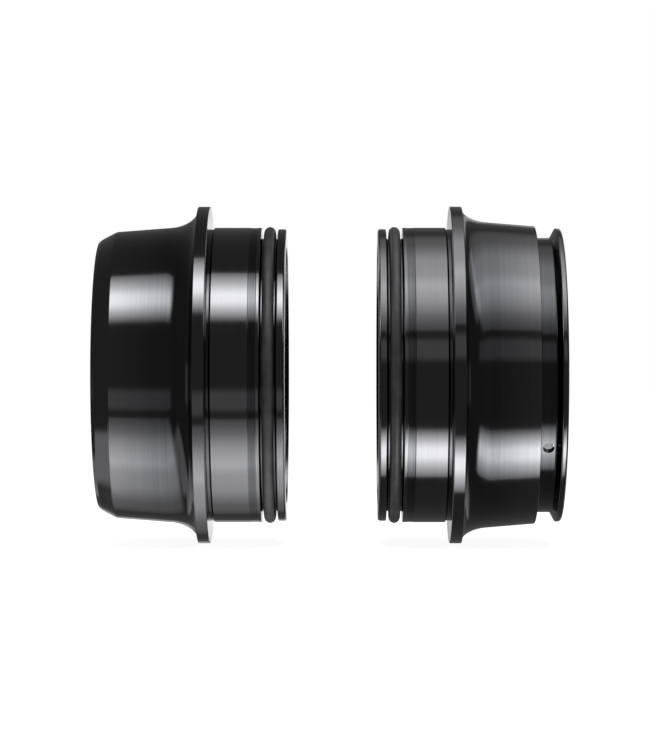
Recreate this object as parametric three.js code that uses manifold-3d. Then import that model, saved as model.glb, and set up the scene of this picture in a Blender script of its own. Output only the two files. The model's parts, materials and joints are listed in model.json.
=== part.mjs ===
// A press-fit bottom bracket with outboard bearings, in millimetres.
// Two machined cups share one axis, +X. Their inserts face each other, and each cup holds a sealed
// ball bearing. The origin is on the axis, midway between the two flange faces.
import * as THREE from "three";
import { mergeVertices } from "three/addons/utils/BufferGeometryUtils.js";
import Module from "manifold-3d";

const wasm = await Module();
wasm.setup();

// ---- driving dimensions ------------------------------------------------------------------------
const SEGMENTS = 36; // facets round every turned piece, so that nested facets line up

const FLANGE_FACE_X = 17; // each flange's inboard face, measured from the origin
const CUP_LENGTH = 15.8; // outboard of that face
const LEFT_INSERT = 10.85; // inboard of that face
const RIGHT_INSERT = 10.2;
const FLANGE_R = 24;
const FLANGE_WIDTH = 1.7;
const INSERT_R = 21; // fills a 42 mm shell bore
const INSERT_BORE_R = 18;
const EDGE = 0.25; // broken edges

const SHOULDER_R = 17.2; // the step that a bearing is pressed against
const SHOULDER_WIDTH = 2.3;
const SEAT_R = 18.55; // bearing seat

const END_BAND_WIDTH = 1.2; // the guide band at the insert's end, past the O-ring
const END_BAND_R = 20.8;
const RING_GROOVE_WIDTH = 2.3;
const RING_GROOVE_R = 19.4;
const O_RING_WIRE_R = 0.8;
const O_RING_MAJOR_R = 20.3;
const O_RING_SIDES = 6;

const BEARING_BORE_R = 12.5;
const BEARING_OUTER_R = 18.5;
const BEARING_WIDTH = 6;
const PITCH_R = 15.5;
const BALL_R = 1.5875;
const BALLS = 16;
const LAND_DROP = 1.15; // from the balls' pitch circle to either race's land
const GROOVE_DROP = 1.75; // to the bottom of either race's groove
const GROOVE_HALF_WIDTH = 1.25;
const GROOVE_FLAT = 0.7;
const SEAL_SEAT_DEPTH = 0.85;
const SEAL_THICKNESS = 0.6;
const SEAL_INNER_R = 14.15;
const SEAL_OUTER_R = 17.0;
const SEAL_GAP = 0.1;
const CAGE_INNER_R = 14.85;
const CAGE_OUTER_R = 16.2;
const CAGE_HALF_WIDTH = 1.95;
const POCKET_R = 1.72;

const LEFT_SHOULDER = 4.5; // from the flange face outboard
const LEFT_BEARING = 8.0;
const RIGHT_SHOULDER = 4.1;
const RIGHT_BEARING = 6.45;

const WASHER_INNER_R = 17.25;
const WASHER_OUTER_R = 18.4;
const WASHER_SHEET = 0.3;
const WASHER_SWING = 0.3;
const WASHER_WAVES = 4;

const CLIP_GROOVE_NEAR = 12.1; // retaining-clip groove in the right cup, from the flange face
const CLIP_GROOVE_FAR = 14.3;
const CLIP_GROOVE_R = 19.55;
const CLIP_WIRE_R = 0.55;
const CLIP_ARC_R = 20.2; // the wire's centre line
const CLIP_TIP_R = 17.6; // the bent ends reach in here, just outboard of the bearing
const CLIP_BEND_R = 0.9;
const CLIP_HOLE_R = 0.8;
const CLIP_HALF_ARC = 68; // degrees each side of the back
const SPARE_HOLE_ANGLE = -31; // degrees above the front, for the hole that the clip leaves free

// ---- materials ---------------------------------------------------------------------------------
const finish = (color, roughness, metalness) =>
  new THREE.MeshStandardMaterial({ color, roughness, metalness });

const ANODISED = finish(0x161719, 0.36, 0.85);
const RUBBER = finish(0x1c1c1d, 0.8, 0);
const STEEL = finish(0xb9bcc0, 0.2, 1);
const SPRING = finish(0x8d9095, 0.35, 1);
const NYLON = finish(0xc9b98f, 0.6, 0);
const SEAL = finish(0x202226, 0.65, 0);

// ---- helpers -----------------------------------------------------------------------------------
const onAxis = new THREE.Group();
onAxis.name = "bottom_bracket";

function add(name, geometry, material) {
  const mesh = new THREE.Mesh(geometry, material);
  mesh.name = name;
  onAxis.add(mesh);
  return mesh;
}

// A ring turned about X from a closed outline of [x, r] corners, whichever way round they run.
function turned(corners) {
  let area = 0;
  corners.forEach(([x, r], i) => {
    const [nextX, nextR] = corners[(i + 1) % corners.length];
    area += x * nextR - nextX * r;
  });
  const ordered = area < 0 ? corners : [...corners].reverse();
  const outline = [...ordered, ordered[0]].map(([x, r]) => new THREE.Vector2(r, x));
  return new THREE.LatheGeometry(outline, SEGMENTS).rotateZ(-Math.PI / 2);
}

function solid(geometry) {
  const bare = geometry.clone();
  bare.deleteAttribute("normal");
  bare.deleteAttribute("uv");
  const merged = mergeVertices(bare, 1e-4);
  return new wasm.Manifold(new wasm.Mesh({
    numProp: 3,
    vertProperties: new Float32Array(merged.attributes.position.array),
    triVerts: new Uint32Array(merged.index.array),
  }));
}

function cut(geometry, cutters) {
  let body = solid(geometry);
  for (const cutter of cutters) body = body.subtract(solid(cutter));
  const { vertProperties, triVerts } = body.getMesh();
  const result = new THREE.BufferGeometry();
  result.setAttribute("position", new THREE.Float32BufferAttribute(vertProperties, 3));
  result.setIndex([...triVerts]);
  return result;
}

// A pin that points out from the axis, at an angle in degrees above the front (-Y).
function radialPin(radius, from, to, x, degrees, sides = 16) {
  const pin = new THREE.CylinderGeometry(radius, radius, to - from, sides);
  pin.rotateX(Math.PI).translate(0, -(from + to) / 2, 0);
  return pin.rotateX(-THREE.MathUtils.degToRad(degrees)).translate(x, 0, 0);
}

function aroundFront(radius, degrees, x) {
  const angle = THREE.MathUtils.degToRad(degrees);
  return new THREE.Vector3(x, -radius * Math.cos(angle), radius * Math.sin(angle));
}

// A side is -1 for the left cup and +1 for the right. Lengths run outboard from the flange face.
const placed = (side, outline) =>
  outline.map(([length, r]) => [side * (FLANGE_FACE_X + length), r]);

// ---- cups --------------------------------------------------------------------------------------
// Outside, from the insert's end to the flange.
const insertOutside = (insert) => [
  [-insert, END_BAND_R - EDGE],
  [-insert + EDGE, END_BAND_R],
  [-insert + END_BAND_WIDTH, END_BAND_R],
  [-insert + END_BAND_WIDTH, RING_GROOVE_R],
  [-insert + END_BAND_WIDTH + RING_GROOVE_WIDTH, RING_GROOVE_R],
  [-insert + END_BAND_WIDTH + RING_GROOVE_WIDTH, INSERT_R],
  [0, INSERT_R],
  [0, FLANGE_R - EDGE],
  [EDGE, FLANGE_R],
  [FLANGE_WIDTH, FLANGE_R],
];

// The hollow, from the outboard mouth to the insert's end.
const hollow = (insert, shoulder) => [
  [CUP_LENGTH, SEAT_R],
  [shoulder + SHOULDER_WIDTH, SEAT_R],
  [shoulder + SHOULDER_WIDTH, SHOULDER_R],
  [shoulder, SHOULDER_R],
  [shoulder, INSERT_BORE_R],
  [-insert + EDGE, INSERT_BORE_R],
  [-insert, INSERT_BORE_R + EDGE],
];

// The hollow curve behind a flange: a quarter of an ellipse that runs on into the body's taper.
function fillet([endLength, endR], [bodyLength, bodyR], steps = 4) {
  const taper = (endR - bodyR) / (bodyLength - endLength);
  const drop = FLANGE_R - EDGE - endR - taper * (endLength - FLANGE_WIDTH);
  return Array.from({ length: steps }, (_, i) => {
    const angle = ((i + 1) / steps) * (Math.PI / 2);
    const toEnd = (endLength - FLANGE_WIDTH) * Math.cos(angle);
    return [endLength - toEnd, endR + taper * toEnd + drop * (1 - Math.sin(angle))];
  });
}

const leftBodyEnd = [13.3, 20.4];
const leftOutside = [
  ...fillet([5.5, 21.0], leftBodyEnd),
  leftBodyEnd,
  [15.2, 19.35],
  [CUP_LENGTH, 18.95],
];

const rightBodyEnd = [CLIP_GROOVE_NEAR, 21.2];
const rightOutside = [
  ...fillet([5.2, 21.77], rightBodyEnd),
  rightBodyEnd,
  [CLIP_GROOVE_NEAR, CLIP_GROOVE_R],
  [CLIP_GROOVE_FAR, CLIP_GROOVE_R],
  [15.0, 20.9],
  [CUP_LENGTH - EDGE, 20.9],
  [CUP_LENGTH, 20.9 - EDGE],
];

const cup = (side, insert, outside, shoulder) =>
  turned(placed(side, [...insertOutside(insert), ...outside, ...hollow(insert, shoulder)]));

const clipHoleAngles = [SPARE_HOLE_ANGLE, 180 - CLIP_HALF_ARC, 180 + CLIP_HALF_ARC];
const clipX = FLANGE_FACE_X + (CLIP_GROOVE_NEAR + CLIP_GROOVE_FAR) / 2;
const clipHoles = clipHoleAngles.map((angle) =>
  radialPin(CLIP_HOLE_R, SEAT_R - 1, CLIP_GROOVE_R + 1, clipX, angle));
const rightCup = cup(1, RIGHT_INSERT, rightOutside, RIGHT_SHOULDER);

add("left_cup", cup(-1, LEFT_INSERT, leftOutside, LEFT_SHOULDER), ANODISED);
add("right_cup", cut(rightCup, clipHoles), ANODISED);

// ---- O-rings -----------------------------------------------------------------------------------
function oRing(side, insert) {
  const middle = -insert + END_BAND_WIDTH + RING_GROOVE_WIDTH / 2;
  const section = Array.from({ length: O_RING_SIDES }, (_, i) => {
    const angle = ((i + 0.5) / O_RING_SIDES) * 2 * Math.PI;
    return [
      middle + O_RING_WIRE_R * Math.cos(angle),
      O_RING_MAJOR_R + O_RING_WIRE_R * Math.sin(angle),
    ];
  });
  return turned(placed(side, section));
}

add("left_o_ring", oRing(-1, LEFT_INSERT), RUBBER);
add("right_o_ring", oRing(1, RIGHT_INSERT), RUBBER);

// ---- bearings ----------------------------------------------------------------------------------
// A race's outline across its width: grow is +1 for the outer race and -1 for the inner.
function race(middle, backR, sealSeatR, grow) {
  const land = PITCH_R + grow * LAND_DROP;
  const bottom = PITCH_R + grow * GROOVE_DROP;
  const half = BEARING_WIDTH / 2;
  const rightHalf = [
    [GROOVE_FLAT, bottom],
    [GROOVE_HALF_WIDTH, land],
    [half - SEAL_SEAT_DEPTH, land],
    [half - SEAL_SEAT_DEPTH, sealSeatR],
    [half, sealSeatR],
    [half, backR],
  ];
  const leftHalf = rightHalf.map(([x, r]) => [-x, r]).reverse();
  return turned([...leftHalf, ...rightHalf].map(([x, r]) => [middle + x, r]));
}

function cage(middle) {
  const ring = turned([
    [middle - CAGE_HALF_WIDTH, CAGE_INNER_R],
    [middle + CAGE_HALF_WIDTH, CAGE_INNER_R],
    [middle + CAGE_HALF_WIDTH, CAGE_OUTER_R],
    [middle - CAGE_HALF_WIDTH, CAGE_OUTER_R],
  ]);
  const pockets = Array.from({ length: BALLS }, (_, i) =>
    radialPin(POCKET_R, CAGE_INNER_R - 1, CAGE_OUTER_R + 1, middle, (i * 360) / BALLS, 10));
  return cut(ring, pockets);
}

function seal(middle, end) {
  const outer = middle + end * (BEARING_WIDTH / 2 - SEAL_GAP);
  const inner = outer - end * SEAL_THICKNESS;
  return turned([
    [inner, SEAL_INNER_R],
    [outer, SEAL_INNER_R],
    [outer, SEAL_OUTER_R],
    [inner, SEAL_OUTER_R],
  ]);
}

function ball(middle, index) {
  const at = aroundFront(PITCH_R, (index * 360) / BALLS, middle);
  return new THREE.IcosahedronGeometry(BALL_R, 1).translate(at.x, at.y, at.z);
}

function addBearing(name, side, start) {
  const middle = side * (FLANGE_FACE_X + start + BEARING_WIDTH / 2);
  add(`${name}_outer_race`, race(middle, BEARING_OUTER_R, SEAL_OUTER_R + 0.1, 1), STEEL);
  add(`${name}_inner_race`, race(middle, BEARING_BORE_R, SEAL_INNER_R - 0.15, -1), STEEL);
  add(`${name}_cage`, cage(middle), NYLON);
  add(`${name}_seal_inboard`, seal(middle, -side), SEAL);
  add(`${name}_seal_outboard`, seal(middle, side), SEAL);
  for (let i = 0; i < BALLS; i += 1) {
    add(`${name}_ball_${String(i + 1).padStart(2, "0")}`, ball(middle, i), STEEL);
  }
}

addBearing("left", -1, LEFT_BEARING);
addBearing("right", 1, RIGHT_BEARING);

// ---- wave washer -------------------------------------------------------------------------------
// A flat spring-steel ring bent into waves, between the left shoulder and the left bearing.
function waveWasher() {
  const floor = LEFT_SHOULDER + SHOULDER_WIDTH;
  const middle = -(FLANGE_FACE_X + (floor + LEFT_BEARING) / 2);
  const geometry = turned([
    [middle - WASHER_SHEET / 2, WASHER_INNER_R],
    [middle + WASHER_SHEET / 2, WASHER_INNER_R],
    [middle + WASHER_SHEET / 2, WASHER_OUTER_R],
    [middle - WASHER_SHEET / 2, WASHER_OUTER_R],
  ]);
  const { position } = geometry.attributes;
  for (let i = 0; i < position.count; i += 1) {
    const around = Math.atan2(position.getZ(i), position.getY(i));
    position.setX(i, position.getX(i) + WASHER_SWING * Math.cos(WASHER_WAVES * around));
  }
  return geometry;
}

add("left_wave_washer", waveWasher(), SPRING);

// ---- retaining clip ----------------------------------------------------------------------------
// A wire that lies in the groove across the back. Its bent ends pass through the groove's floor and
// stand just outboard of the right bearing.
function retainingClip() {
  const start = 180 - CLIP_HALF_ARC;
  const end = 180 + CLIP_HALF_ARC;
  const bendDegrees = THREE.MathUtils.radToDeg(CLIP_BEND_R / CLIP_ARC_R);
  const steps = 16;
  const arc = Array.from({ length: steps + 1 }, (_, i) => {
    const share = i / steps;
    const angle = start + bendDegrees + share * (end - start - 2 * bendDegrees);
    return aroundFront(CLIP_ARC_R, angle, clipX);
  });
  const leg = (angle, inwards) => [
    aroundFront(CLIP_TIP_R, angle, clipX),
    aroundFront((CLIP_TIP_R + CLIP_ARC_R - CLIP_BEND_R) / 2, angle, clipX),
    aroundFront(CLIP_ARC_R - CLIP_BEND_R, angle, clipX),
    aroundFront(CLIP_ARC_R - 0.3 * CLIP_BEND_R, angle + inwards * 0.3 * bendDegrees, clipX),
  ];
  const points = [...leg(start, 1), ...arc, ...leg(end, -1).reverse()];
  const wire = new THREE.Shape().absarc(0, 0, CLIP_WIRE_R, 0, 2 * Math.PI);
  return new THREE.ExtrudeGeometry(wire, {
    steps: 32,
    curveSegments: 4,
    bevelEnabled: false,
    extrudePath: new THREE.CatmullRomCurve3(points, false, "centripetal"),
  });
}

add("right_retaining_clip", retainingClip(), SPRING);

export default onAxis;
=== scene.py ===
"""Two press-fit bottom bracket cups on one axis, each with an O-ring and a sealed ball bearing.

Every turned piece is an outline of [distance along X, radius] corners in millimetres, turned about X.
A cup's lengths run outboard from its flange face, and a bearing's from the bearing's middle.
"""

import json
import math

import bmesh
import bpy
import numpy as np
from mathutils import Matrix, Vector

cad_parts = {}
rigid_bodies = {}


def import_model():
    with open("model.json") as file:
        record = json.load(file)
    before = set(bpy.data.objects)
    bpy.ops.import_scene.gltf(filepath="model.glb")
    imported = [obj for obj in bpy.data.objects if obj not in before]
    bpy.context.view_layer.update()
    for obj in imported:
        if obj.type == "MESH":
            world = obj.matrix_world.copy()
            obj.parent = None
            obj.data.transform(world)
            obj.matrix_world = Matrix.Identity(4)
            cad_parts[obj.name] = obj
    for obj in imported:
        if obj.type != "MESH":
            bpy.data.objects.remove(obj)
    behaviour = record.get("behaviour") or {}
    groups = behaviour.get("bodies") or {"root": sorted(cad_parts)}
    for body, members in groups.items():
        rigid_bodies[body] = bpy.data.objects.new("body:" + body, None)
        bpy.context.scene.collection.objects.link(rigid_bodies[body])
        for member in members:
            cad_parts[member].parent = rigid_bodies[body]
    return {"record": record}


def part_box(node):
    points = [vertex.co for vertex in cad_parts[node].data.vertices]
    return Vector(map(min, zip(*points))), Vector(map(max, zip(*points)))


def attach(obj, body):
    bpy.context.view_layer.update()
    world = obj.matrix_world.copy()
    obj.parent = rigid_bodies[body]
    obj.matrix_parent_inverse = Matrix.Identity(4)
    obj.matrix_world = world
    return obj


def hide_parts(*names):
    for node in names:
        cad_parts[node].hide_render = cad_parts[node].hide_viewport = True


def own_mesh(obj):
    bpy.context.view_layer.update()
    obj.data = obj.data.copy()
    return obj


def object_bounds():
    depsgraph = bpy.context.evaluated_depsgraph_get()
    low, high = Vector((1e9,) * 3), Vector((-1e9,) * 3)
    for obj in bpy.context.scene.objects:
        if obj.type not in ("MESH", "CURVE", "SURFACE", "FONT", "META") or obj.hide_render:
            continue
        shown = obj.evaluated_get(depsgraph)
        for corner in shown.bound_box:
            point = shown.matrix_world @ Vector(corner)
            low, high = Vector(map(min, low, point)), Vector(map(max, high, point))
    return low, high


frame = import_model()
cad_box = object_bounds()

MM = 0.001
ROUND_SEGMENTS = 216
BEARING_SEGMENTS = 180
CORNER_STEP_DEG = 15.0
SHARP_DEG = 25.0

record = frame["record"]
body_of = {node: body for body, nodes in record["behaviour"]["bodies"].items() for node in nodes}
slot_of = {part["node"]: part["material_slot"] for part in record["subparts"]}
mount_at = {mount["name"]: mount["pos_m"] for mount in record["mounts"]}

# ---- driving dimensions, in millimetres ---------------------------------------------------------
FLANGE_R = 24.0
FLANGE_WIDTH = 1.7
FILLET_TOP_R = 23.75
CUP_LENGTH = 15.8
INSERT_LENGTH = {"left": 10.85, "right": 10.2}
INSERT_R = 21.0
INSERT_BORE_R = 18.0
SHOULDER_R = 17.2
SHOULDER_WIDTH = 2.3
SEAT_R = 18.54
SHOULDER = {"left": 4.5, "right": 4.1}

END_BAND_WIDTH = 1.2
END_BAND_R = 20.8
RING_GROOVE_WIDTH = 2.3
RING_GROOVE_R = 19.4
O_RING_WIRE_R = 0.8
O_RING_MAJOR_R = 20.3
O_RING_FLASH = 0.035
RELIEF_START = 0.45
RELIEF_WIDTH = 1.1
RELIEF_DEPTH = 0.03
RELIEF_SLOPE = 0.1
UNDERCUT_WIDTH = 0.5
UNDERCUT_SLOPE = 0.15
UNDERCUT_DEPTH = 0.25
MOUTH_CHAMFER = (0.2, 0.12)
BORE_CHAMFER = 0.4
SEAT_RELIEF_DEPTH = 0.1
SEAT_RELIEF_WIDTH = 0.3
SEAT_RELIEF_SLOPE = 0.05

CLIP_GROOVE = (12.1, 14.3)
CLIP_GROOVE_R = 19.55
CLIP_WIRE_R = 0.55
CLIP_ARC_R = 20.2
CLIP_TIP_R = 17.6
CLIP_BEND_R = 0.9
CLIP_HALF_ARC = 68.0
CLIP_SIDES = 20
CLIP_HOLE_R = 0.8
SPARE_HOLE_DEG = -31.0

BEARING_HALF_WIDTH = 3.0
BEARING_OUTER_R = 18.5
BEARING_BORE_R = 12.5
PITCH_R = 15.5
BALL_R = 1.5875
BALL_CLEARANCE = 0.03
RACE_CONFORMITY = 1.05
LAND_DROP = 1.15
SEAL_SEAT_DEPTH = 0.85
SEAL_OUTER_R = 17.0
SEAL_INNER_R = 14.15
SEAL_INSET = 0.1
SEAL_BEAD_CLEARANCE = 0.06
SEAL_LIP_CLEARANCE = 0.12
# (depth behind the seal's face, radius, rounding)
SEAL_PROFILE = [
    (0.0, SEAL_OUTER_R, 0.1),
    (0.0, 16.55, 0.1),
    (0.16, 16.4, 0.08),
    (0.16, 15.9, 0.08),
    (0.06, 15.75, 0.08),
    (0.06, 15.25, 0.08),
    (0.16, 15.1, 0.08),
    (0.16, 14.85, 0.08),
    (0.02, 14.65, 0.1),
    (0.2, SEAL_INNER_R, 0.05),
    (0.36, SEAL_INNER_R, 0.05),
    (0.58, 14.7, 0.1),
    (0.58, SEAL_OUTER_R, 0.12),
]
BALLS = 16
CAGE = {"inner": 14.85, "outer": 16.2, "half_width": 1.95, "pocket": 1.72}

WASHER = {"inner": 17.25, "outer": 18.4, "half_sheet": 0.15, "swing": 0.3, "waves": 4}


# ---- outlines and turned meshes -----------------------------------------------------------------
def arc_points(before, corner, after, radius):
    """The points of the arc that rounds one corner of an outline, and which way the corner turns."""
    to_before = before - corner
    to_after = after - corner
    room = 0.48 * min(to_before.length, to_after.length)
    to_before.normalize()
    to_after.normalize()
    half = to_before.angle(to_after) / 2
    setback = min(radius / math.tan(half), room)
    radius = setback * math.tan(half)
    turn = math.pi - 2 * half
    steps = max(2, math.ceil(math.degrees(turn) / CORNER_STEP_DEG))
    middle = (to_before + to_after).normalized()
    centre = corner + middle * (radius / math.sin(half))
    side = 1 if to_before.cross(to_after) > 0 else -1
    start = corner + to_before * setback - centre
    points = []
    for i in range(steps + 1):
        angle = -side * turn * i / steps
        points.append(centre + Matrix.Rotation(angle, 2) @ start)
    return points, side


def rounded(corners):
    """Outline points (x, r, edge) from corners (x, r, rounding). edge is 1 on a rounded outer corner."""
    flat = [Vector(corner[:2]) for corner in corners]
    area = sum(a.cross(b) for a, b in zip(flat, flat[1:] + flat[:1]))
    points = []
    for i, corner in enumerate(corners):
        radius = corner[2] if len(corner) > 2 else 0.0
        if radius <= 0:
            points.append((corner[0], corner[1], 0.0))
            continue
        arc, side = arc_points(flat[i - 1], flat[i], flat[(i + 1) % len(flat)], radius)
        outer = float(side * area < 0)
        points += [(p.x, p.y, outer) for p in arc]
    return points if area < 0 else points[::-1]


def curve(points):
    """Corners that already follow a smooth curve, so they need no rounding."""
    return [(x, r, 0.0) for x, r in points]


def outline_normals(points):
    """One normal for each outline point, the long straight stretches counting most."""
    at = np.array([p[:2] for p in points])
    step = np.roll(at, -1, axis=0) - at
    across = np.stack([-step[:, 1], step[:, 0]], axis=1)
    total = across + np.roll(across, 1, axis=0)
    return total / np.linalg.norm(total, axis=1, keepdims=True)


def shade_turned(mesh, points):
    """Gives the mesh the outline's exact normals. Faces off the outline, as in a hole, keep their own."""
    at = np.array([p[:2] for p in points]) * MM
    normals = outline_normals(points)
    run = np.roll(at, -1, axis=0) - at
    run_squared = np.maximum((run**2).sum(axis=1), 1e-16)
    co = np.array([v.co for v in mesh.vertices])
    radius = np.hypot(co[:, 1], co[:, 2])
    where = np.stack([co[:, 0], radius], axis=1)
    share = ((where[:, None, :] - at[None]) * run[None]).sum(axis=2) / run_squared
    share = np.clip(share, 0, 1)
    nearest = at[None] + share[..., None] * run[None]
    pick = ((where[:, None, :] - nearest) ** 2).sum(axis=2).argmin(axis=1)
    along = share[np.arange(len(where)), pick][:, None]
    flat = (1 - along) * normals[pick] + along * np.roll(normals, -1, axis=0)[pick]
    flat /= np.linalg.norm(flat, axis=1, keepdims=True)
    radial = co[:, 1:] / radius[:, None]
    smooth = np.column_stack([flat[:, 0], flat[:, 1] * radial[:, 0], flat[:, 1] * radial[:, 1]])
    loops = np.zeros((len(mesh.loops), 3))
    for face in mesh.polygons:
        face.use_smooth = True
        own = np.array(face.normal)
        for loop in face.loop_indices:
            vertex = mesh.loops[loop].vertex_index
            agrees = smooth[vertex] @ own > math.cos(math.radians(SHARP_DEG))
            loops[loop] = smooth[vertex] if agrees else own
    mesh.normals_split_custom_set([Vector(n) for n in loops])


def turned(name, corners, segments=ROUND_SEGMENTS):
    """A ring turned about X, and the outline's points, which its shading needs."""
    points = rounded(corners)
    angles = np.arange(segments) * 2 * math.pi / segments
    vertices = [
        (x * MM, r * MM * math.cos(a), r * MM * math.sin(a)) for a in angles for x, r, _ in points
    ]
    count = len(points)
    faces = []
    for i in range(segments):
        here, there = i * count, ((i + 1) % segments) * count
        for j in range(count):
            k = (j + 1) % count
            faces.append((here + j, there + j, there + k, here + k))
    mesh = bpy.data.meshes.new(name)
    mesh.from_pydata(vertices, [], faces)
    edge = mesh.attributes.new("edge", "FLOAT", "POINT")
    edge.data.foreach_set("value", [p[2] for p in points] * segments)
    mesh.validate()
    mesh.update()
    obj = bpy.data.objects.new(name, mesh)
    bpy.context.scene.collection.objects.link(obj)
    return obj, points


def around_front(x, radius, degrees):
    """A point in metres, at an angle above the front, which faces -Y."""
    angle = math.radians(degrees)
    return Vector((x, -radius * MM * math.cos(angle), radius * MM * math.sin(angle)))


def drill(obj, holes, x, radius, span, segments=32):
    """Cuts round holes that point out from the axis, at the given angles above the front."""
    cutter_mesh = bmesh.new()
    for degrees in holes:
        out = around_front(0, 1, degrees).normalized()
        turn = out.to_track_quat("Z", "X").to_matrix().to_4x4()
        stand = Matrix.Translation(around_front(x, sum(span) / 2, degrees)) @ turn
        bmesh.ops.create_cone(
            cutter_mesh,
            cap_ends=True,
            segments=segments,
            radius1=radius * MM,
            radius2=radius * MM,
            depth=(span[1] - span[0]) * MM,
            matrix=stand,
        )
    mesh = bpy.data.meshes.new("cutter")
    cutter_mesh.to_mesh(mesh)
    cutter_mesh.free()
    cutter = bpy.data.objects.new("cutter", mesh)
    bpy.context.scene.collection.objects.link(cutter)
    modifier = obj.modifiers.new("holes", "BOOLEAN")
    modifier.object = cutter
    modifier.operation = "DIFFERENCE"
    modifier.solver = "EXACT"
    apply_modifiers(obj)
    bpy.data.objects.remove(cutter)


def apply_modifiers(obj):
    depsgraph = bpy.context.evaluated_depsgraph_get()
    mesh = bpy.data.meshes.new_from_object(obj.evaluated_get(depsgraph))
    obj.modifiers.clear()
    obj.data = mesh


# ---- materials ----------------------------------------------------------------------------------
class Nodes:
    """A short way to build a node tree."""

    def __init__(self, name):
        self.material = bpy.data.materials.new(name)
        self.material.use_nodes = True
        self.tree = self.material.node_tree
        self.shader = self.tree.nodes["Principled BSDF"]

    def add(self, kind, inputs=(), **settings):
        node = self.tree.nodes.new(kind)
        for key, value in settings.items():
            setattr(node, key, value)
        for key, value in dict(inputs).items():
            self.set(node, key, value)
        return node

    def set(self, node, key, value):
        if isinstance(value, bpy.types.NodeSocket):
            self.tree.links.new(value, node.inputs[key])
        else:
            node.inputs[key].default_value = value

    def ramp(self, value, low, high, to_low, to_high):
        node = self.add(
            "ShaderNodeMapRange",
            {0: value, 1: low, 2: high, 3: to_low, 4: to_high},
        )
        return node.outputs[0]

    def mix(self, share, first, second):
        node = self.add("ShaderNodeMix", data_type="RGBA")
        self.set(node, 0, share)
        self.set(node, 6, first)
        self.set(node, 7, second)
        return node.outputs[2]

    def noise(self, scale, stretch=(1, 1, 1), detail=4.0):
        where = self.add("ShaderNodeTexCoord").outputs["Object"]
        stretched = self.add("ShaderNodeMapping", {"Vector": where, "Scale": stretch}).outputs[0]
        noise = self.add("ShaderNodeTexNoise", {"Vector": stretched, "Scale": scale, "Detail": detail})
        return noise.outputs[0]

    def turning_marks(self, pitch_mm):
        """Fine rings round the X axis, a little uneven, as a lathe tool leaves them."""
        return self.noise(1 / (pitch_mm * MM), stretch=(1, 0.004, 0.004), detail=2.0)

    def bump(self, height, strength, distance_mm):
        node = self.add(
            "ShaderNodeBump",
            {"Height": height, "Strength": strength, "Distance": distance_mm * MM},
        )
        self.set(self.shader, "Normal", node.outputs[0])

    def edge(self):
        return self.add("ShaderNodeAttribute", attribute_name="edge").outputs["Fac"]


def anodised():
    n = Nodes("black_anodised_aluminium")
    marks = n.turning_marks(0.11)
    cloud = n.noise(160, detail=3.0)
    wear = n.ramp(n.edge(), 0.0, 1.0, 0.0, 0.7)
    rings = n.ramp(n.turning_marks(0.5), 0.3, 0.7, 0.0, 1.0)
    dark = n.mix(cloud, (0.041, 0.043, 0.047, 1), (0.050, 0.051, 0.055, 1))
    colour = n.mix(rings, dark, (0.062, 0.063, 0.066, 1))
    n.set(n.shader, "Base Color", n.mix(wear, colour, (0.12, 0.12, 0.125, 1)))
    n.shader.inputs["Metallic"].default_value = 1.0
    n.set(n.shader, "Roughness", n.ramp(marks, 0.25, 0.75, 0.08, 0.12))
    n.bump(marks, 0.07, 0.004)
    return n.material


def o_ring_rubber():
    n = Nodes("o_ring_rubber")
    grain = n.noise(9000, detail=3.0)
    dust = n.noise(420, detail=5.0)
    share = n.ramp(dust, 0.45, 0.7, 0, 1)
    n.set(n.shader, "Base Color", n.mix(share, (0.018, 0.018, 0.019, 1), (0.034, 0.034, 0.035, 1)))
    n.set(n.shader, "Roughness", n.ramp(grain, 0.3, 0.7, 0.42, 0.58))
    n.shader.inputs["Specular IOR Level"].default_value = 0.45
    n.bump(grain, 0.25, 0.01)
    return n.material


def ground_steel():
    n = Nodes("ground_bearing_steel")
    marks = n.turning_marks(0.06)
    n.set(n.shader, "Base Color", n.mix(n.noise(300), (0.56, 0.57, 0.59, 1), (0.66, 0.67, 0.68, 1)))
    n.shader.inputs["Metallic"].default_value = 1.0
    n.set(n.shader, "Roughness", n.ramp(marks, 0.25, 0.75, 0.16, 0.3))
    n.bump(marks, 0.07, 0.003)
    return n.material


def polished_steel():
    n = Nodes("polished_ball_steel")
    film = n.noise(700, detail=5.0)
    n.set(n.shader, "Base Color", n.mix(film, (0.68, 0.69, 0.7, 1), (0.76, 0.77, 0.78, 1)))
    n.shader.inputs["Metallic"].default_value = 1.0
    n.set(n.shader, "Roughness", n.ramp(film, 0.3, 0.7, 0.05, 0.11))
    return n.material


def spring_steel():
    n = Nodes("spring_steel")
    grain = n.noise(2600, detail=4.0)
    n.set(n.shader, "Base Color", n.mix(n.noise(500), (0.36, 0.37, 0.39, 1), (0.48, 0.48, 0.49, 1)))
    n.shader.inputs["Metallic"].default_value = 1.0
    n.set(n.shader, "Roughness", n.ramp(grain, 0.3, 0.7, 0.26, 0.4))
    n.bump(grain, 0.15, 0.006)
    return n.material


def cage_nylon():
    n = Nodes("cage_nylon")
    fibre = n.noise(3000, stretch=(1, 0.3, 0.3))
    n.set(n.shader, "Base Color", n.mix(fibre, (0.66, 0.6, 0.44, 1), (0.76, 0.7, 0.55, 1)))
    n.set(n.shader, "Roughness", n.ramp(fibre, 0.3, 0.7, 0.42, 0.56))
    n.bump(fibre, 0.12, 0.01)
    return n.material


def seal_rubber():
    n = Nodes("seal_rubber")
    grain = n.noise(5200, detail=3.0)
    n.set(n.shader, "Base Color", n.mix(n.noise(380), (0.02, 0.021, 0.024, 1), (0.034, 0.035, 0.038, 1)))
    n.set(n.shader, "Roughness", n.ramp(grain, 0.3, 0.7, 0.46, 0.6))
    n.bump(grain, 0.2, 0.012)
    return n.material


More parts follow.
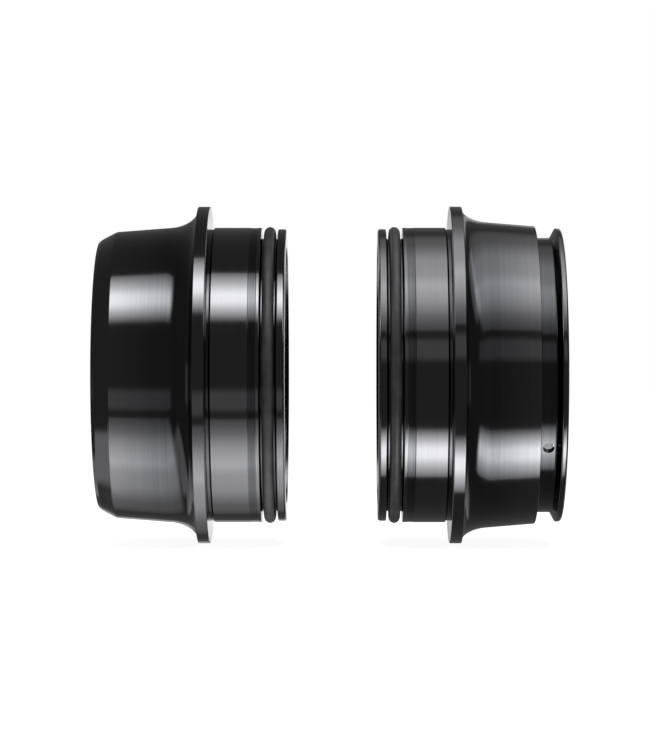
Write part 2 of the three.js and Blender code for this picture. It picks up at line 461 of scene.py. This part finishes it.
MATERIALS = {
    "cup_aluminium": anodised(),
    "o_ring_rubber": o_ring_rubber(),
    "bearing_steel": ground_steel(),
    "spring_steel": spring_steel(),
    "cage_nylon": cage_nylon(),
    "seal_rubber": seal_rubber(),
}
BALL_STEEL = polished_steel()


def place(obj, node, material=None):
    """The piece stands for one CAD node: it rides on that node's body and takes its slot and finish."""
    obj.data.materials.clear()
    obj.data.materials.append(material or MATERIALS[slot_of[node]])
    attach(obj, body_of[node])
    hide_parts(node)


# ---- cups ---------------------------------------------------------------------------------------
def cup_corners(side, corners):
    """Corners measured outboard from a flange face, put where that flange face is."""
    sign = -1 if side == "left" else 1
    face = mount_at[f"{side}_shell_face"][0] / MM
    return [(face + sign * length, *rest) for length, *rest in corners]


def insert_outside(side):
    """From the insert's end to the flange's rim."""
    end = -INSERT_LENGTH[side]
    far = end + END_BAND_WIDTH
    near = far + RING_GROOVE_WIDTH
    relief = near + RELIEF_START
    return [
        (end, END_BAND_R, 0.35),
        (far, END_BAND_R, 0.22),
        (far, RING_GROOVE_R, 0.2),
        (near, RING_GROOVE_R, 0.2),
        (near, INSERT_R, 0.12),
        (relief, INSERT_R, 0.05),
        (relief + RELIEF_SLOPE, INSERT_R - RELIEF_DEPTH, 0.05),
        (relief + RELIEF_WIDTH, INSERT_R - RELIEF_DEPTH, 0.05),
        (relief + RELIEF_WIDTH + RELIEF_SLOPE, INSERT_R, 0.05),
        (-UNDERCUT_WIDTH - UNDERCUT_SLOPE, INSERT_R, 0.1),
        (-UNDERCUT_WIDTH, INSERT_R - UNDERCUT_DEPTH, 0.12),
        (0.0, INSERT_R - UNDERCUT_DEPTH, 0.12),
        (0.0, FLANGE_R, 0.16),
        (FLANGE_WIDTH, FLANGE_R, 0.12),
    ]


def flange_fillet(end, body_end, steps=18):
    """The hollow curve behind a flange: a quarter of an ellipse that runs on into the body's taper."""
    taper = (end[1] - body_end[1]) / (body_end[0] - end[0])
    drop = FILLET_TOP_R - end[1] - taper * (end[0] - FLANGE_WIDTH)
    points = []
    for i in range(steps + 1):
        angle = math.pi / 2 * i / steps
        to_end = (end[0] - FLANGE_WIDTH) * math.cos(angle)
        points.append((end[0] - to_end, end[1] + taper * to_end + drop * (1 - math.sin(angle))))
    return curve(points)


def hollow(side):
    """From the outboard mouth to the insert's end."""
    near = SHOULDER[side]
    far = near + SHOULDER_WIDTH
    return [
        (CUP_LENGTH, SEAT_R + MOUTH_CHAMFER[1], 0.05),
        (CUP_LENGTH - MOUTH_CHAMFER[0], SEAT_R, 0.05),
        (far + SEAT_RELIEF_WIDTH + SEAT_RELIEF_SLOPE, SEAT_R, 0.05),
        (far + SEAT_RELIEF_WIDTH, SEAT_R + SEAT_RELIEF_DEPTH, 0.04),
        (far, SEAT_R + SEAT_RELIEF_DEPTH, 0.04),
        (far, SHOULDER_R, 0.15),
        (near, SHOULDER_R, 0.35),
        (near, INSERT_BORE_R, 0.3),
        (-INSERT_LENGTH[side] + BORE_CHAMFER, INSERT_BORE_R, 0.08),
        (-INSERT_LENGTH[side], INSERT_BORE_R + BORE_CHAMFER, 0.08),
    ]


# Where the fillet behind each flange runs into the body's taper, and each body from there to its end.
LEFT_FILLET_END = (5.5, 21.0)
RIGHT_FILLET_END = (5.2, 21.77)
LEFT_BODY = [(13.3, 20.4, 0.8), (15.3, 19.35, 0.7), (CUP_LENGTH, 18.95, 0.15)]
RIGHT_BODY = [
    (CLIP_GROOVE[0], 21.2, 0.12),
    (CLIP_GROOVE[0], CLIP_GROOVE_R, 0.15),
    (CLIP_GROOVE[1], CLIP_GROOVE_R, 0.35),
    (15.0, 20.9, 0.25),
    (CUP_LENGTH, 20.9, 0.4),
]


def add_cup(side, fillet_end, body):
    """One cup as a single turned outline. The right cup also has the holes in its clip groove's floor."""
    node = f"{side}_cup"
    corners = insert_outside(side) + flange_fillet(fillet_end, body[0]) + body + hollow(side)
    obj, points = turned(f"{node}_machined", cup_corners(side, corners))
    if side == "right":
        holes = (SPARE_HOLE_DEG, 180 - CLIP_HALF_ARC, 180 + CLIP_HALF_ARC)
        drill(obj, holes, clip_x(), CLIP_HOLE_R, (SEAT_R - 1, CLIP_GROOVE_R + 1))
    shade_turned(obj.data, points)
    place(obj, node)


def clip_x():
    """The middle of the clip groove, in metres."""
    return mount_at["right_shell_face"][0] + sum(CLIP_GROOVE) / 2 * MM


def add_o_ring(side):
    """A round section with the fine moulding line that an O-ring has inside and out."""
    steps = 48
    middle = -INSERT_LENGTH[side] + END_BAND_WIDTH + RING_GROOVE_WIDTH / 2
    section = []
    for i in range(steps):
        angle = 2 * math.pi * i / steps
        flash = O_RING_FLASH * max(0.0, math.cos(2 * angle)) ** 60
        radius = O_RING_WIRE_R + flash
        section.append((middle + radius * math.sin(angle), O_RING_MAJOR_R + radius * math.cos(angle)))
    node = f"{side}_o_ring"
    obj, points = turned(f"{node}_moulded", cup_corners(side, curve(section)))
    shade_turned(obj.data, points)
    place(obj, node)


# ---- bearings -----------------------------------------------------------------------------------
def race_corners(back_r, seal_seat_r, grow):
    """A race's outline about the bearing's middle: grow is 1 for the outer race and -1 for the inner."""
    land = PITCH_R + grow * LAND_DROP
    groove_r = BALL_R * RACE_CONFORMITY
    centre_r = PITCH_R + grow * (BALL_R + BALL_CLEARANCE - groove_r)
    reach = math.acos(min(1.0, grow * (land - centre_r) / groove_r))
    steps = 14
    groove = []
    for i in range(steps + 1):
        angle = -reach + 2 * reach * i / steps
        groove.append((groove_r * math.sin(angle), centre_r + grow * groove_r * math.cos(angle)))
    half = BEARING_HALF_WIDTH
    step = half - SEAL_SEAT_DEPTH
    return [
        (-step, land, 0.05),
        *curve(groove),
        (step, land, 0.05),
        (step, seal_seat_r, 0.08),
        (half, seal_seat_r, 0.08),
        (half, back_r, 0.3),
        (-half, back_r, 0.3),
        (-half, seal_seat_r, 0.08),
        (-step, seal_seat_r, 0.08),
    ]


def seal_corners(end):
    """A moulded lip seal: a bead in the outer race, a shallow dished face and a thin lip inside."""
    face = BEARING_HALF_WIDTH - SEAL_INSET
    return [(end * (face - depth), r, rounding) for depth, r, rounding in SEAL_PROFILE]


def cage_corners():
    inner, outer, half = CAGE["inner"], CAGE["outer"], CAGE["half_width"]
    return [(-half, inner, 0.2), (half, inner, 0.2), (half, outer, 0.2), (-half, outer, 0.2)]


def add_ring(node, suffix, corners, middle):
    shifted = [(middle + x, *rest) for x, *rest in corners]
    obj, points = turned(f"{node}_{suffix}", shifted, BEARING_SEGMENTS)
    if node.endswith("cage"):
        pockets = [i * 360 / BALLS for i in range(BALLS)]
        drill(obj, pockets, middle * MM, CAGE["pocket"], (CAGE["inner"] - 1, CAGE["outer"] + 1))
    shade_turned(obj.data, points)
    place(obj, node)


def add_ball(node):
    low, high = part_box(node)
    ball = bmesh.new()
    bmesh.ops.create_icosphere(
        ball,
        subdivisions=4,
        radius=BALL_R * MM,
        matrix=Matrix.Translation((low + high) / 2),
    )
    mesh = bpy.data.meshes.new(f"{node}_polished")
    ball.to_mesh(mesh)
    ball.free()
    mesh.shade_smooth()
    obj = bpy.data.objects.new(f"{node}_polished", mesh)
    bpy.context.scene.collection.objects.link(obj)
    place(obj, node, BALL_STEEL)


def add_bearing(side):
    low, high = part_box(f"{side}_outer_race")
    middle = (low.x + high.x) / 2 / MM
    outboard = -1 if side == "left" else 1
    outer = race_corners(BEARING_OUTER_R, SEAL_OUTER_R + SEAL_BEAD_CLEARANCE, 1)
    inner = race_corners(BEARING_BORE_R, SEAL_INNER_R - SEAL_LIP_CLEARANCE, -1)
    add_ring(f"{side}_outer_race", "ground", outer, middle)
    add_ring(f"{side}_inner_race", "ground", inner, middle)
    add_ring(f"{side}_cage", "moulded", cage_corners(), middle)
    add_ring(f"{side}_seal_inboard", "moulded", seal_corners(-outboard), middle)
    add_ring(f"{side}_seal_outboard", "moulded", seal_corners(outboard), middle)
    for i in range(BALLS):
        add_ball(f"{side}_ball_{i + 1:02d}")


# ---- springs ------------------------------------------------------------------------------------
def add_wave_washer():
    node = "left_wave_washer"
    low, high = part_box(node)
    middle = (low.x + high.x) / 2 / MM
    sheet = WASHER["half_sheet"]
    corners = [
        (middle + x, r, 0.08)
        for x, r in (
            (-sheet, WASHER["inner"]),
            (sheet, WASHER["inner"]),
            (sheet, WASHER["outer"]),
            (-sheet, WASHER["outer"]),
        )
    ]
    obj, points = turned(f"{node}_pressed", corners)
    shade_turned(obj.data, points)
    for vertex in obj.data.vertices:
        around = math.atan2(vertex.co.z, -vertex.co.y)
        vertex.co.x += WASHER["swing"] * MM * math.cos(WASHER["waves"] * around)
    place(obj, node)
    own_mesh(obj)


def clip_path():
    """The wire's centre line: out through one hole, round the back and in through the other."""
    x = clip_x()
    start = 180 - CLIP_HALF_ARC
    radial = around_front(0, 1, start).normalized()
    along = around_front(0, 1, start + 90).normalized()
    bend_from = CLIP_ARC_R - CLIP_BEND_R
    leg = [radial * (CLIP_TIP_R + (bend_from - CLIP_TIP_R) * i / 4) for i in range(4)]
    for i in range(9):
        angle = math.pi / 2 * i / 8
        out = bend_from + CLIP_BEND_R * math.sin(angle)
        leg.append(radial * out + along * CLIP_BEND_R * (1 - math.cos(angle)))
    leg = [Vector((x, p.y * MM, p.z * MM)) for p in leg]
    turn = math.degrees(math.atan2(CLIP_BEND_R, CLIP_ARC_R))
    first, last = start + turn, 180 + CLIP_HALF_ARC - turn
    arc = [around_front(x, CLIP_ARC_R, first + (last - first) * i / 64) for i in range(1, 64)]
    return leg + arc + [Vector((p.x, p.y, -p.z)) for p in reversed(leg)]


def add_clip():
    """Round spring wire with rounded ends. The path is flat, so X is always across it."""
    node = "right_retaining_clip"
    path = clip_path()
    around = CLIP_SIDES
    rows = []
    for i, point in enumerate(path):
        ahead = path[min(i + 1, len(path) - 1)] - path[max(i - 1, 0)]
        normal = ahead.normalized().cross(Vector((1, 0, 0)))
        rows.append((point, ahead.normalized(), normal, CLIP_WIRE_R * MM))
    for end, outwards in ((0, -1), (-1, 1)):
        point, ahead, normal, radius = rows[end]
        cap = []
        for i in range(1, 6):
            angle = math.pi / 2 * i / 5.2
            tip = point + ahead * outwards * (radius * math.sin(angle) - radius)
            cap.append((tip, ahead, normal, radius * math.cos(angle)))
        rows = cap[::-1] + rows[1:] if end == 0 else rows[:-1] + cap
    vertices = []
    for point, _, normal, radius in rows:
        for j in range(around):
            angle = 2 * math.pi * j / around
            out = math.cos(angle) * normal + math.sin(angle) * Vector((1, 0, 0))
            vertices.append(point + radius * out)
    faces = []
    for i in range(len(rows) - 1):
        for j in range(around):
            k = (j + 1) % around
            here, there = i * around, (i + 1) * around
            faces.append((here + j, here + k, there + k, there + j))
    faces.append(tuple(reversed(range(around))))
    faces.append(tuple((len(rows) - 1) * around + j for j in range(around)))
    mesh = bpy.data.meshes.new(f"{node}_wire")
    mesh.from_pydata(vertices, [], faces)
    mesh.validate()
    mesh.shade_smooth()
    obj = bpy.data.objects.new(f"{node}_wire", mesh)
    bpy.context.scene.collection.objects.link(obj)
    place(obj, node)


# ---- the object ---------------------------------------------------------------------------------
add_cup("left", LEFT_FILLET_END, LEFT_BODY)
add_cup("right", RIGHT_FILLET_END, RIGHT_BODY)
for cup_side in ("left", "right"):
    add_o_ring(cup_side)
    add_bearing(cup_side)
add_wave_washer()
add_clip()

# ---- camera -------------------------------------------------------------------------------------
CAMERA_DISTANCE = 0.47
CAMERA_X = 0.0022
AIM_X = -0.0007
LENS_MM = 158.0
SENSOR_MM = 36.0


def add_camera():
    data = bpy.data.cameras.new("camera")
    data.lens = LENS_MM
    data.sensor_width = SENSOR_MM
    data.clip_start = 0.01
    camera = bpy.data.objects.new("camera", data)
    camera.location = (CAMERA_X, -CAMERA_DISTANCE, 0.0)
    turn = math.atan2(CAMERA_X - AIM_X, CAMERA_DISTANCE)
    camera.rotation_euler = (math.pi / 2, 0.0, turn)
    bpy.context.scene.collection.objects.link(camera)
    bpy.context.scene.camera = camera


# ---- light --------------------------------------------------------------------------------------
# The left cup is lit from above, and the right cup is lit as if it were turned over. Elevations are
# in degrees, from the front over the top of the left cup. Lengths are in metres.
LIGHT_DISTANCE = 0.7
END_FADE = 0.16
# How far outboard of its flange each cup's panels stand.
OUTBOARD_SHIFT = {"left": 0.0, "right": 0.22}
KEY = [(40.5, 0), (44, 1.3), (51, 4.4), (58, 8.2), (65, 8.2), (73, 4.5), (80, 2.4), (85, 1)]
GLINT = [(-9, 0), (-14, 0.3), (-25, 0.3), (-29, 0)]
FILL = [
    (-34, 0.4),
    (-39, 0.6),
    (-46, 1.1),
    (-60, 2.8),
    (-73, 3.7),
    (-82, 2.7),
    (-99, 2.2),
    (-112, 1.1),
    (-120, 0.6),
    (-140, 0),
]
RIM = [(-157, 0), (-161, 0.4), (-167, 0.4), (-171, 0)]
BACK = [(173, 0), (176, 1), (184, 1), (187, 0)]
# (name, reach along X, [(elevation, brightness), ...])
SOFTBOXES = [
    ("key", 0.74, KEY),
    ("glint", 0.9, GLINT),
    ("fill", 1.1, FILL),
    ("rim", 0.4, RIM),
    ("back", 0.6, BACK),
]
# Boxes beside the cup, towards the other cup: they only show from the sides and from behind.
SIDE_BOXES = [
    ("side_key", 1.1, [(37, 0), (46, 3), (74, 3), (83, 0)]),
    ("side_fill", 1.1, [(-41, 0), (-55, 1.6), (-97, 1.6), (-111, 0)]),
    ("side_back", 1.1, [(132, 0), (140, 2.4), (164, 2.4), (172, 0)]),
    ("side_low", 1.1, [(194, 0), (202, 1), (222, 1), (230, 0)]),
]
SIDE_CENTRE = 0.9
# (name, place from the cup's flange face with X outboard, size, brightness)
END_BOXES = [
    ("end", (1.0, 0.0, -0.06), (0.32, 0.32), 0.3),
    ("end_back", (0.66, 0.62, -0.42), (0.5, 0.5), 0.6),
    ("table", (0.7, -0.03, -0.68), (0.36, 1.2), 0.85),
]
END_LEVELS = [(0, 0), (END_FADE, 1), (1 - END_FADE, 1), (1, 0)]
AMBIENT = 0.12
FLOOR_REACH = 3.0
FLOOR_GAP = 0.0001


def panel(name, location, target, size, receivers):
    """An area light of brightness 1, which only shines on the receivers."""
    data = bpy.data.lights.new(name, "AREA")
    data.shape = "RECTANGLE"
    data.size, data.size_y = size
    data.energy = math.pi * size[0] * size[1]
    light = bpy.data.objects.new(name, data)
    light.location = location
    facing = (Vector(target) - Vector(location)).normalized()
    if abs(facing.x) < 0.5:
        across = Vector((1, 0, 0))
    else:
        across = facing.cross(Vector((0, 1, 0))).normalized()
    upright = across.cross(facing).normalized()
    light.rotation_euler = Matrix((across, upright, -facing)).transposed().to_euler()
    light.visible_camera = False
    light.light_linking.receiver_collection = receivers
    bpy.context.scene.collection.objects.link(light)
    return data


def grade(data, along, up):
    """Makes a panel's brightness follow (share from 0 to 1, brightness) marks along it and up it."""
    data.use_nodes = True
    tree = data.node_tree
    surface = tree.nodes.new("ShaderNodeNewGeometry")
    split = tree.nodes.new("ShaderNodeSeparateXYZ")
    tree.links.new(surface.outputs["Parametric"], split.inputs[0])
    level = tree.nodes.new("ShaderNodeMath")
    level.operation = "MULTIPLY"
    for i, marks in enumerate((along, up)):
        profile = tree.nodes.new("ShaderNodeFloatCurve")
        peak = max(brightness for _, brightness in marks)
        line = profile.mapping.curves[0]
        for at, brightness in marks[1:-1]:
            line.points.new(at, brightness / peak)
        for end in (0, -1):
            line.points[end].location = (marks[end][0], marks[end][1] / peak)
        for point in line.points:
            point.handle_type = "VECTOR"
        profile.mapping.update()
        tree.links.new(split.outputs[i], profile.inputs["Value"])
        scale = tree.nodes.new("ShaderNodeMath")
        scale.operation = "MULTIPLY"
        scale.inputs[1].default_value = peak
        tree.links.new(profile.outputs[0], scale.inputs[0])
        tree.links.new(scale.outputs[0], level.inputs[i])
    tree.links.new(level.outputs[0], tree.nodes["Emission"].inputs["Strength"])


def around_cup(x, elevation):
    """A point at the lights' distance from the axis."""
    angle = math.radians(elevation)
    return Vector((x, -LIGHT_DISTANCE * math.cos(angle), LIGHT_DISTANCE * math.sin(angle)))


def softbox(name, x, turn, reach, marks, receivers):
    """A panel above or below the cup, from the first mark's elevation to the last one's."""
    low, high = sorted((turn * marks[0][0], turn * marks[-1][0]))
    middle = (low + high) / 2
    half = math.tan(math.radians(high - low) / 2)
    data = panel(name, around_cup(x, middle), (x, 0, 0), (reach, 2 * LIGHT_DISTANCE * half), receivers)
    up = sorted(
        (0.5 + math.tan(math.radians(turn * elevation - middle)) / (2 * half), brightness)
        for elevation, brightness in marks
    )
    grade(data, END_LEVELS, up)


def light_cup(side):
    """One cup's own lights, which leave the other cup dark."""
    pieces = bpy.data.collections.new(f"{side}_pieces")
    for obj in bpy.data.objects:
        if obj.name.startswith(f"{side}_") and obj.type == "MESH":
            pieces.objects.link(obj)
    outboard, turn = (-1, 1) if side == "left" else (1, -1)
    centre = mount_at[f"{side}_shell_face"][0]
    above = centre + outboard * OUTBOARD_SHIFT[side]
    for name, reach, marks in SOFTBOXES:
        softbox(f"{side}_{name}", above, turn, reach, marks, pieces)
    beside = centre - outboard * SIDE_CENTRE
    for name, reach, marks in SIDE_BOXES:
        softbox(f"{side}_{name}", beside, 1, reach, marks, pieces)
    for name, direction, size, brightness in END_BOXES:
        flip = turn if name == "table" else 1
        location = Vector((centre + outboard * direction[0], direction[1], flip * direction[2]))
        data = panel(f"{side}_{name}", location, (centre, 0, 0), size, pieces)
        grade(data, END_LEVELS, [(at, level * brightness) for at, level in END_LEVELS])


def add_world():
    """White behind the object, and a dim even surround in reflections and shade."""
    world = bpy.data.worlds.new("studio")
    world.use_nodes = True
    bpy.context.scene.world = world
    tree = world.node_tree
    background = tree.nodes["Background"]
    background.inputs["Color"].default_value = (1, 1, 1, 1)
    path = tree.nodes.new("ShaderNodeLightPath")
    strength = tree.nodes.new("ShaderNodeMapRange")
    strength.inputs[3].default_value = AMBIENT
    strength.inputs[4].default_value = 1.0
    tree.links.new(path.outputs["Is Camera Ray"], strength.inputs[0])
    tree.links.new(strength.outputs[0], background.inputs["Strength"])


def add_floor():
    """A pale floor that glows a little, so that only a faint shadow is left on it."""
    n = Nodes("floor")
    n.set(n.shader, "Base Color", n.mix(n.noise(3), (0.8, 0.8, 0.8, 1), (0.83, 0.83, 0.83, 1)))
    n.shader.inputs["Roughness"].default_value = 1.0
    n.shader.inputs["Specular IOR Level"].default_value = 0.0
    n.shader.inputs["Emission Color"].default_value = (1, 1, 1, 1)
    n.shader.inputs["Emission Strength"].default_value = 0.9
    reach = FLOOR_REACH
    height = cad_box[0][2] - FLOOR_GAP
    mesh = bpy.data.meshes.new("floor")
    corners = [(-reach, -reach), (reach, -reach), (reach, reach), (-reach, reach)]
    mesh.from_pydata([(x, y, height) for x, y in corners], [], [(0, 1, 2, 3)])
    mesh.materials.append(n.material)
    floor = bpy.data.objects.new("floor", mesh)
    floor.visible_glossy = False
    floor.visible_diffuse = False
    floor.visible_shadow = False
    bpy.context.scene.collection.objects.link(floor)
    lit = bpy.data.collections.new("floor_only")
    lit.objects.link(floor)
    panel("floor_light", (0, -0.2, 1.2), (0, 0, 0), (1.2, 1.2), lit)


add_camera()
light_cup("left")
light_cup("right")
add_world()
add_floor()
bpy.context.scene.view_settings.view_transform = "Standard"
